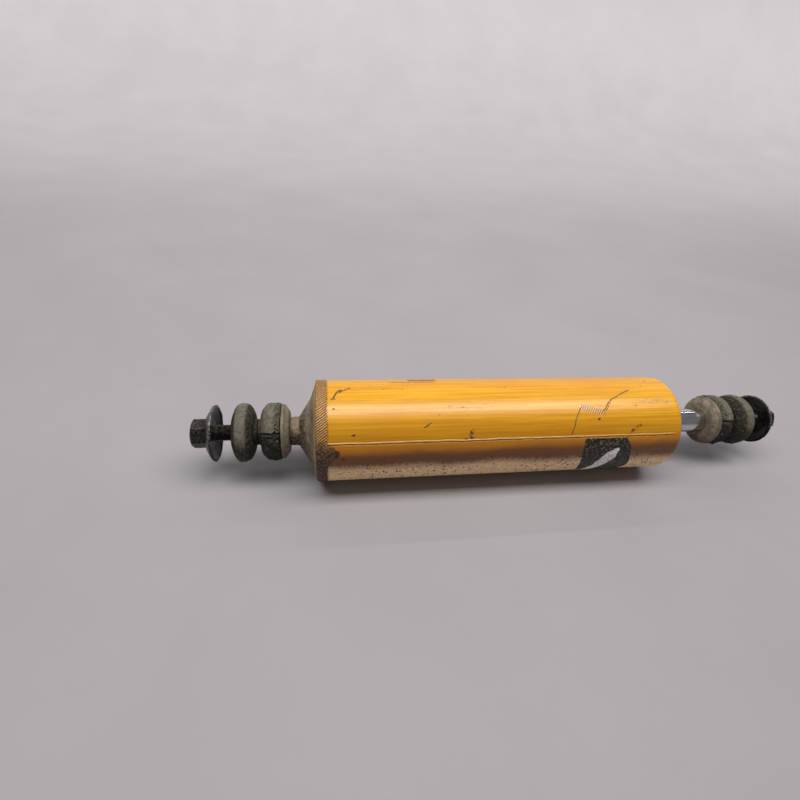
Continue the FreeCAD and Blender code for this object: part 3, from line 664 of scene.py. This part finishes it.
MATERIALS = {
    "yellow_paint": yellow_paint(),
    "weld_bead": weld_bead(),
    "dusty_cap": dusty_cap(),
    "rusted_steel": rusted_steel(),
    "dark_steel": dark_steel(),
    "dusty_steel": dusty_steel(),
    "mount_rubber": mount_rubber(),
    "label_film": label_film(),
    "chrome_rod": chrome_rod(),
    "bright_steel": turned_metal("bright_steel", srgb(150, 150, 152), srgb(196, 197, 200), 0.2),
    "spring_steel": turned_metal("spring_steel", srgb(92, 96, 104), srgb(132, 134, 138), 0.25, line=0.2),
    "bronze": turned_metal("bronze", srgb(136, 96, 44), srgb(186, 142, 78), 0.25),
    "retainer_steel": turned_metal("retainer_steel", srgb(66, 64, 62), srgb(104, 101, 96), 0.35, 0.85),
    "sintered_iron": moulded("sintered_iron", srgb(74, 73, 72), srgb(118, 115, 110), 0.45),
    "ptfe": moulded("ptfe", srgb(60, 66, 60), srgb(86, 96, 86), 0.35),
    "seal_rubber": moulded("seal_rubber", srgb(22, 22, 23), srgb(46, 46, 47), 0.45),
}


# Tube, seam and label

def seam_place(x):
    """The seam's wandering distance round the tube from its nominal angle."""
    slow = 0.5 * noise.noise(Vector((x / 14.0, 3.1, 0.0)))
    quick = 0.16 * noise.noise(Vector((x / 2.6, 7.7, 0.0)))
    return slow + quick


def tube_shape(x, r, angle):
    """The seam's raised lip with a groove under it, on a tube that is never quite true."""
    degrees = math.degrees(angle)
    if degrees > 180:
        degrees -= 360
    from_seam = arc_length(degrees - SEAM_ANGLE) - seam_place(x)
    if r < TUBE_R - 0.5:
        return x, r, clamp(from_seam, -20, 20)
    present = smooth(SEAM_END_X - x, -1.0, 2.0) * smooth(x, 49.0, 50.0)
    uneven = 1 + 0.35 * noise.noise(Vector((x / 5.0, 11.3, 0.0)))
    lip = math.sin(math.pi * clamp((from_seam + 0.1) / 1.35)) * 0.36 * uneven
    groove = math.sin(math.pi * clamp((from_seam + 0.95) / 0.95)) * -0.34
    waves = 0.05 * noise.noise(Vector((x / 30.0, degrees / 25.0, 2.0))) - 0.05
    return x, r + waves + present * (lip + groove), clamp(from_seam, -20, 20)


def reservoir_tube():
    """Thin tube with a rolled-in rod end. Its start is hidden under the weld."""
    outer = rounded([
        (TUBE_START, TUBE_R - 0.9),
        (TUBE_START + 2.0, TUBE_R - 0.7),
        (TUBE_START + 2.9, TUBE_R, 0.4),
        (SHOULDER_X, TUBE_R, 4.0),
        (SHOULDER_X + 5.2, 29.0, 3.0),
        (SHOULDER_X + 6.5, 23.6, 0.8),
        (SHOULDER_X + 4.1, 23.0, 0.8),
        (SHOULDER_X + 3.0, 27.6, 1.0),
        (SHOULDER_X - 1.6, TUBE_R - TUBE_WALL, 1.5),
        (TUBE_START, TUBE_R - TUBE_WALL),
    ])
    outer = finer(outer, 1.3)
    coarse_step, fine_step, fine_reach = 2.6, 0.2, 3.6
    turns = []
    degrees = -180.0
    while degrees < 179.999:
        turns.append(math.radians(degrees) % (2 * math.pi))
        by_the_seam = abs(degrees - SEAM_ANGLE) < fine_reach
        degrees += fine_step if by_the_seam else coarse_step
    turns.sort()
    lathe("tube", outer, turns, tube_shape, "housing", "yellow_paint", "reservoir_tube")


def label_edges(degrees):
    """The torn label's left and right x at that angle."""
    left = [(24.0, 240.6), (8.4, 241.0), (-10.0, 242.6), (-24.7, 244.3), (-45.0, 247.0)]
    right = [(24.0, 272.9), (20.0, 275.6), (12.9, 279.2), (0.0, 281.6), (-14.0, 284.2),
             (-22.0, 284.6), (-33.0, 281.4), (-45.0, 277.0)]
    result = []
    for edge, seed in ((left, 0.0), (right, 9.0)):
        for (high, x_high), (low, x_low) in zip(edge, edge[1:]):
            if low <= degrees <= high:
                x = x_low + (x_high - x_low) * (degrees - low) / (high - low)
        tear = 0.9 * noise.noise(Vector((degrees / 3.0, seed, 0.0)))
        fray = 0.5 * noise.noise(Vector((degrees / 0.9, seed, 1.0)))
        result.append(x + (tear + fray))
    return result


def data_label():
    """Thin torn film that lies on the tube under the seam, lifted a little along its torn edge."""
    rows = 80
    columns = 60
    points = []
    faces = []
    for side in (0, 1):
        for row in range(rows + 1):
            share = row / rows
            degrees = LABEL_TOP_ANGLE + (LABEL_BOTTOM_ANGLE - LABEL_TOP_ANGLE) * share
            left, right = label_edges(degrees)
            for column in range(columns + 1):
                across = column / columns
                x = left + (right - left) * across
                ragged = (0.8 * noise.noise(Vector((x / 2.0, 4.0, 4.0)))) * (1 - smooth(share, 0.0, 0.1))
                a = math.radians(degrees + ragged)
                curl = 0.5 * smooth(across, 0.93, 1.0) + 0.3 * smooth(share, 0.95, 1.0)
                crease = 0.1 * abs(noise.noise(Vector((x / 4.0, degrees / 5.0, 1.0))))
                r = within_box(TUBE_R + 0.02 + side * LABEL_LIFT + curl + crease, a)
                points.append((x * MM, -r * math.cos(a) * MM, r * math.sin(a) * MM))
    width = columns + 1
    layer = width * (rows + 1)
    for row in range(rows):
        for column in range(columns):
            corner = row * width + column
            quad = (corner, corner + 1, corner + width + 1, corner + width)
            faces.append(quad)
            faces.append(tuple(layer + index for index in reversed(quad)))
    rim = list(range(columns))
    rim += [row * width + columns for row in range(rows)]
    rim += [rows * width + column for column in range(columns, 0, -1)]
    rim += [row * width for row in range(rows, 0, -1)]
    for index, corner in enumerate(rim):
        after = rim[(index + 1) % len(rim)]
        faces.append((corner, after, layer + after, layer + corner))
    mesh = bpy.data.meshes.new("label")
    mesh.from_pydata(points, [], faces)
    mesh.attributes.new("mark", "FLOAT", "POINT")
    finish_mesh("label", mesh, "housing", "label_film", "data_label")


# Welds

def bead_shape(x, r, angle):
    """Slanted ripples along the bead, with slag spilt over the tube under the seam."""
    degrees = math.degrees(angle)
    if degrees > 180:
        degrees -= 360
    if r < TUBE_R - 0.8:
        return x, r, 0.0
    spill = smooth(degrees, -6.0, 14.0) * smooth(degrees, 25.0, 22.0)
    reach = 5.4 * spill * (1 + 0.5 * noise.noise(Vector((degrees / 3.0, 5.0, 0.0))))
    x += reach * smooth(x, WELD_MIDDLE, WELD_MIDDLE + 3.9)
    x += 0.35 * noise.noise(Vector((degrees / 4.0, 1.0, x / 8.0)))
    pitch = arc_length(360) / WELD_RIPPLES
    wobble = 0.5 * lumps(x, r, angle, 3.4, 2.0, 2)
    along = arc_length(degrees) - 0.72 * (x - WELD_MIDDLE) + wobble
    ripple = 2 * abs(math.sin(math.pi * along / pitch)) ** 0.8 - 1
    rough = lumps(x, r, angle, 1.1, 6.0)
    low = smooth(degrees, 26.0, 4.0) * smooth(degrees, -170.0, -150.0)
    ripple = ripple * (1 - 0.65 * low) + rough * (0.35 + 0.9 * low)
    height = 0.22 * clamp(ripple, -1.3, 1.0)
    edge = smooth(x - reach, 41.8, 43.0)
    top = min(r - 0.2 + height * edge, TUBE_R + 0.3)
    if spill > 0 and x > WELD_MIDDLE + 3:
        top = max(top, TUBE_R + 0.1 + 0.3 * rough)
    return x, within_box(top, angle), clamp(ripple, -1, 1)


def base_weld():
    outline = finer(rounded([
        (42.2, 36.2),
        (41.9, 37.3, 0.4),
        (42.9, WELD_CREST_R, 1.2),
        (48.2, WELD_CREST_R, 1.4),
        (WELD_END_X, TUBE_R, 0.3),
        (WELD_END_X, 37.2),
        (48.0, 36.0),
    ]), 0.5)
    lathe("weld_bead", outline, around(WELD_RIPPLES * 8), bead_shape, "housing", "weld_bead", "base_weld")


def neck_weld_shape(x, r, angle):
    if r < 9.6:
        return x, r, 0.0
    return x, r - 0.5 + 0.7 * lumps(x, r, angle, 2.6, 4.0), 0.0


def stud_weld():
    """Scaly neck between the inner washer and the cap."""
    outline = finer(rounded([
        (22.8, 9.05),
        (22.8, 10.4, 0.8),
        (24.6, 11.0, 1.0),
        (29.7, 11.2),
        (29.7, 9.05),
    ]), 0.5)
    lathe("neck_weld", outline, around(160), neck_weld_shape, "housing", "rusted_steel", "stud_weld")


# Stud mounts

def thread(x, angle):
    """How far the flank of the thread lies below its crest."""
    phase = (x / THREAD_PITCH - angle / (2 * math.pi)) % 1.0
    return THREAD_DEPTH * clamp(abs(2 * phase - 1) * 1.25 - 0.1)


def base_stud_shape(x, r, angle):
    if r < STUD_R - 0.02 or r > STUD_R + 0.02:
        return x, r, 0.0
    cut = thread(x, angle) * smooth(x, -THREAD_RUNOUT, -THREAD_FULL)
    return x, r - cut, 0.5 - cut


def base_stud():
    outline = rounded([
        (-STUD_REACH, 0.0),
        (-STUD_REACH, STUD_TIP_R),
        (STUD_TIP_CHAMFER - STUD_REACH, STUD_R),
        (INNER_CUP_BACK_X, STUD_R),
        (INNER_CUP_BACK_X, NECK_R),
        (33.4, NECK_R),
        (33.4, 11.8),
        (36.5, 11.8, 1.0),
        (36.5, 0.0),
    ])
    outline = finer(outline[:-1], THREAD_STEP, closed=False) + [outline[-1]]
    lathe("threaded_stud", outline, around(STUD_SIDES), base_stud_shape, "housing", "dark_steel", "base_stud")


def rod_shape(x, r, angle):
    if r < STUD_R - 0.02 or r > STUD_R + 0.02 or x < ROD_END + 12.0:
        return x, r, 0.0
    start = ROD_MOUNT + THREAD_RUNOUT
    cut = thread(ROD_MOUNT - x, -angle) * smooth(x, start, ROD_MOUNT + THREAD_FULL)
    return x, r - cut, 0.5 - cut


def piston_rod():
    """Chromed rod with its piston end inside the tube and its threaded stud outside."""
    tip = ROD_MOUNT + STUD_REACH
    plain = rounded([
        (ROD_PISTON_X, 0.0),
        (ROD_PISTON_X, 5.0),
        (ROD_PISTON_X + 1.0, STUD_R),
        (ROD_STEP_X, STUD_R),
        (ROD_STEP_X, ROD_R),
        (ROD_END, ROD_R, 0.5),
        (ROD_END, STUD_R),
        (ROD_MOUNT - 8.0, STUD_R),
    ])
    threaded = rounded([
        (ROD_MOUNT - 8.0, STUD_R),
        (tip - STUD_TIP_CHAMFER, STUD_R),
        (tip, STUD_TIP_R),
        (tip, 0.0),
    ])
    outline = plain[:-1] + finer(threaded, THREAD_STEP, closed=False)
    lathe("chromed_rod", outline, around(STUD_SIDES), rod_shape, "rod", "chrome_rod", "piston_rod")


def nut_shape(x, r, angle):
    """A hexagon with a corner at the top, its corners rubbed round."""
    if r < BORE_R + 0.5:
        return x, r, 0.0
    turn = (math.degrees(angle) + 30.0) % 60.0 - 30.0
    flat_r = NUT_FLAT_R / math.cos(math.radians(abs(abs(turn) - 30.0)))
    worn = NUT_WORN_R - 0.25 * noise.noise(Vector((x / 2.0, angle * 2.0, 0.0)))
    side = min(flat_r, worn, r)
    corner = smooth(30.0 - abs(abs(turn) - 30.0), 6.0, 0.0)
    return x, side + 0.1 * lumps(x, side, angle, 2.0) - 0.12, 0.5 * corner


def mount_nut(name, body, replaced, mirror_x=None):
    outline = finer(rounded([
        (NUT_END_X, BORE_R),
        (NUT_END_X, NUT_FACE_R, 0.3),
        (NUT_END_X + 0.9, NUT_CORNER_R, 0.3),
        (OUTER_CUP_BACK_X - 0.9, NUT_CORNER_R, 0.3),
        (OUTER_CUP_BACK_X, NUT_FACE_R, 0.3),
        (OUTER_CUP_BACK_X, BORE_R),
    ]), 0.6)
    lathe(name, outline, around(180), nut_shape, body, "dark_steel", replaced, mirror_x)


def cup_shape(seed, dent):
    """A pressed cup's small dents, and a mark along its rim for wear, which on the dark cups' upper side is
    partly a painted highlight.
    """
    def shape(x, r, angle):
        if r < 7.0:
            return x, r, 0.0
        share = smooth(r, 9.0, 20.0)
        shift = dent * share * lumps(x, r, angle, 9.0, seed, 2)
        inward = 0.12 * lumps(x, r, angle, 2.5, seed) - 0.12
        return x + shift, r + inward * share, smooth(r, 17.5, 20.5)
    return shape


def outer_cup(name, body, replaced, seed, mirror_x=None):
    outline = finer(rounded([
        (OUTER_CUP_BACK_X, BORE_R),
        (OUTER_CUP_BACK_X, 14.0, 3.0),
        (-31.3, 20.7, 2.0),
        (OUTER_CUP_RIM_X, 20.95, 0.5),
        (OUTER_CUP_RIM_X, 19.0, 0.5),
        (-30.5, 18.8, 1.0),
        (-33.2, 12.8, 1.5),
        (-33.2, BORE_R),
    ]), 0.7)
    lathe(name, outline, around(144), cup_shape(seed, 0.3), body, "dark_steel", replaced, mirror_x)


def inner_cup(name, body, replaced, seed, mirror_x=None):
    outline = finer(rounded([
        (INNER_CUP_BACK_X, BORE_R),
        (INNER_CUP_BACK_X, 15.4, 4.0),
        (19.1, 20.3, 2.0),
        (INNER_CUP_RIM_X, 20.5, 0.5),
        (INNER_CUP_RIM_X, 18.5, 0.5),
        (18.1, 18.3, 1.0),
        (20.6, 14.2, 2.0),
        (20.6, BORE_R),
    ]), 0.7)
    lathe(name, outline, around(144), cup_shape(seed, 0.2), body, "dusty_steel", replaced, mirror_x)


def outer_bush_shape(seed):
    """A barrel of old rubber with a dusty band round its middle, painted shade on its underside, and one torn
    flap.
    """
    def shape(x, r, angle):
        if r < 8.0:
            return x, r, 0.0
        degrees = (math.degrees(angle) + 180) % 360 - 180
        share = smooth(r, 10.0, 17.0)
        coarse = lumps(x, r, angle, 4.5, seed)
        fine = lumps(x, r, angle, 1.2, seed + 5.0)
        flank = smooth(abs(x + 10.4), 2.6, 4.6)
        flap = smooth(abs(degrees + 57.0), 9.0, 2.0) * smooth(abs(x + 14.2), 2.4, 0.8)
        r += share * (0.22 * coarse + flank * 0.34 * fine + 1.4 * flap - 0.25)
        # Less dust on the flanks, and painted shade below about 26 degrees, where the rubber darkens.
        dust = 0.95 - flank * (0.75 + 0.4 * fine) - 0.75 * smooth(degrees, 26.0, -2.0)
        return x, r, clamp(dust)
    return shape


def outer_bush(name, body, replaced, seed, mirror_x=None):
    outline = finer(rounded([
        (-0.2, BORE_R),
        (-0.2, SPIGOT_R, 0.6),
        (-SPIGOT_END_X, SPIGOT_R),
        (-SPIGOT_END_X, 14.5, 10.0),
        (-6.2, BUSH_R, 6.3),
        (-14.5, BUSH_R, 6.3),
        (-18.1, 13.0, 12.0),
        (-18.1, BORE_R),
    ]), 0.55)
    lathe(name, outline, around(260), outer_bush_shape(seed), body, "mount_rubber", replaced, mirror_x)


def inner_bush_shape(seed):
    """Perished rubber: dusty on top, split along its front, and crumbling under the split."""
    def shape(x, r, angle):
        if r < 8.0 or x > 18.4:
            return x, r, 0.3
        degrees = (math.degrees(angle) + 180) % 360 - 180
        share = smooth(r, 11.0, 17.0)
        coarse = lumps(x, r, angle, 4.5, seed)
        fine = lumps(x, r, angle, 1.3, seed + 5.0)
        split_at = 35.0 + 3.0 * noise.noise(Vector((x / 2.4, seed, 0.0)))
        length = smooth(x, 2.4, 4.0)
        split = smooth(abs(degrees - split_at), 3.4, 0.8) * length
        broken = smooth(degrees, split_at, split_at - 6.0) * smooth(degrees, -120.0, -90.0)
        cells = noise.voronoi(Vector((x / 4.6, degrees / 13.0, seed)))[0]
        crumbs = 2.6 * clamp(0.42 - (cells[1] - cells[0])) + 1.1 * abs(coarse)
        torn = smooth(abs(x - 14.6), 3.2, 1.0) * clamp(0.4 + 1.6 * fine)
        upper = 1 - broken
        r -= share * (1.7 * split + broken * crumbs + upper * torn * 1.2 + 0.3)
        r += share * (0.3 * coarse + 0.2 * fine)
        dust = 1.0 * upper - 1.3 * split - 0.85 * torn + 0.12 * fine
        dust -= smooth(x, 6.0, 3.0) * 0.45
        return x, r, clamp(dust + broken * 0.2 * clamp(coarse + 0.3))
    return shape


def inner_bush(name, body, replaced, seed, mirror_x=None):
    outline = finer(rounded([
        (0.2, BORE_R),
        (0.2, SPIGOT_R, 0.6),
        (SPIGOT_END_X, SPIGOT_R),
        (SPIGOT_END_X, 16.3, 4.0),
        (7.0, BUSH_R, 6.0),
        (16.3, BUSH_R, 2.0),
        (16.9, 18.3),
        (20.55, 13.6),
        (20.55, BORE_R),
    ]), 0.5)
    lathe(name, outline, around(300), inner_bush_shape(seed), body, "mount_rubber", replaced, mirror_x)


def stud_mounts():
    """Nut, cup washers and bushes on each stud."""
    mount_nut("nut_base", "base_mount_nut", "base_nut")
    mount_nut("nut_rod", "rod_mount_nut", "rod_nut", ROD_MOUNT)
    outer_cup("outer_cup_base", "base_washer", "base_outer_cup_washer", 1.0)
    outer_cup("outer_cup_rod", "rod_washer", "rod_outer_cup_washer", 21.0, ROD_MOUNT)
    inner_cup("inner_cup_base", "housing", "base_inner_cup_washer", 2.0)
    inner_cup("inner_cup_rod", "rod", "rod_inner_cup_washer", 22.0, ROD_MOUNT)
    outer_bush("outer_bush_base", "loose_base_bush", "base_outer_bush", 3.0)
    outer_bush("outer_bush_rod", "loose_rod_bush", "rod_outer_bush", 23.0, ROD_MOUNT)
    inner_bush("inner_bush_base", "housing", "base_inner_bush", 4.0)
    inner_bush("inner_bush_rod", "rod", "rod_inner_bush", 24.0, ROD_MOUNT)


# Springs inside

def valve_spring(name, node, body):
    """A fingered spring, copied from its CAD node in spring steel."""
    cad_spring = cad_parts[node]
    mesh = cad_spring.data.copy()
    mesh.transform(cad_spring.matrix_world)
    mesh.materials.clear()
    spring = finish_mesh(name, mesh, body, "spring_steel", node)
    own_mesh(spring)


def valve_springs():
    valve_spring("intake_spring", "base_valve_spring", "housing")
    valve_spring("check_spring", "check_valve_spring", "rod")


# Studio

def backdrop():
    """A pale floor that sweeps up into a pale wall behind the damper."""
    g = Graph("pale_floor")
    cloud = g.noise(160.0, 4)
    color = g.mix(g.step(cloud, 0.2, 0.8), srgb(150, 145, 147), srgb(156, 151, 153))
    g.bumps((g.noise(3.0), 0.02))
    material = g.finish(color, g.math("ADD", g.math("MULTIPLY", cloud, 0.1), 0.55))
    front, wall_y, bend, height, half_width, steps = -12.0, 2.4, 0.8, 6.0, 16.0, 16
    line = [(front, 0.0), (wall_y - bend, 0.0)]
    for step in range(1, steps + 1):
        turn = math.pi / 2 * step / steps
        line.append((wall_y - bend + bend * math.sin(turn), bend - bend * math.cos(turn)))
    line.append((wall_y, height))
    points = [(x, y, FLOOR_Z + z) for y, z in line for x in (-half_width, half_width)]
    faces = [(2 * i, 2 * i + 1, 2 * i + 3, 2 * i + 2) for i in range(len(line) - 1)]
    mesh = bpy.data.meshes.new("backdrop")
    mesh.from_pydata(points, [], faces)
    mesh.shade_smooth()
    mesh.materials.append(material)
    sweep = bpy.data.objects.new("backdrop", mesh)
    bpy.context.scene.collection.objects.link(sweep)


def soft_light(name, place, target, size, power):
    lamp = bpy.data.lights.new(name, "AREA")
    lamp.shape = "RECTANGLE"
    lamp.size, lamp.size_y = size
    lamp.energy = power
    holder = bpy.data.objects.new(name, lamp)
    holder.location = place
    holder.rotation_euler = (Vector(target) - Vector(place)).to_track_quat("-Z", "Y").to_euler()
    bpy.context.scene.collection.objects.link(holder)


def studio():
    """A long softbox almost straight above, another on the wall, and an even pale surrounding."""
    soft_light("softbox", (0.16, -0.1, 1.0), (0.16, 0.0, 0.0), (1.7, 0.34), 15.4)
    soft_light("wall_light", (0.2, 1.2, 1.6), (0.2, 2.4, 0.5), (14.0, 0.6), 240.0)
    world = bpy.data.worlds.new("studio")
    world.use_nodes = True
    sky = world.node_tree.nodes["Background"]
    sky.inputs["Color"].default_value = srgb(206, 205, 208)
    sky.inputs["Strength"].default_value = 0.3
    bpy.context.scene.world = world
    bpy.context.scene.view_settings.view_transform = "Standard"


def camera():
    """Stands close in front of the base end and looks down along the damper to the right."""
    data = bpy.data.cameras.new("camera")
    data.sensor_width = 36.0
    data.lens = 19.8
    right = Vector((0.98745, -0.13553, 0.08105)).normalized()
    up = Vector((0.0171, 0.60199, 0.79832))
    up = (up - right * up.dot(right)).normalized()
    pose = Matrix((right, up, right.cross(up))).transposed().to_4x4()
    pose.translation = Vector((0.05237, -0.25752, 0.22277))
    holder = bpy.data.objects.new("camera", data)
    holder.matrix_world = pose
    bpy.context.scene.collection.objects.link(holder)
    bpy.context.scene.camera = holder


def dress_cad_nodes():
    """The CAD nodes that keep their shape get these materials in place of their plain ones."""
    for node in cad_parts.values():
        for slot in node.material_slots:
            slot.material = MATERIALS[slot.material.name.split(".")[0]]


dress_cad_nodes()
reservoir_tube()
data_label()
base_weld()
stud_weld()
base_stud()
piston_rod()
stud_mounts()
valve_springs()
backdrop()
studio()
camera()
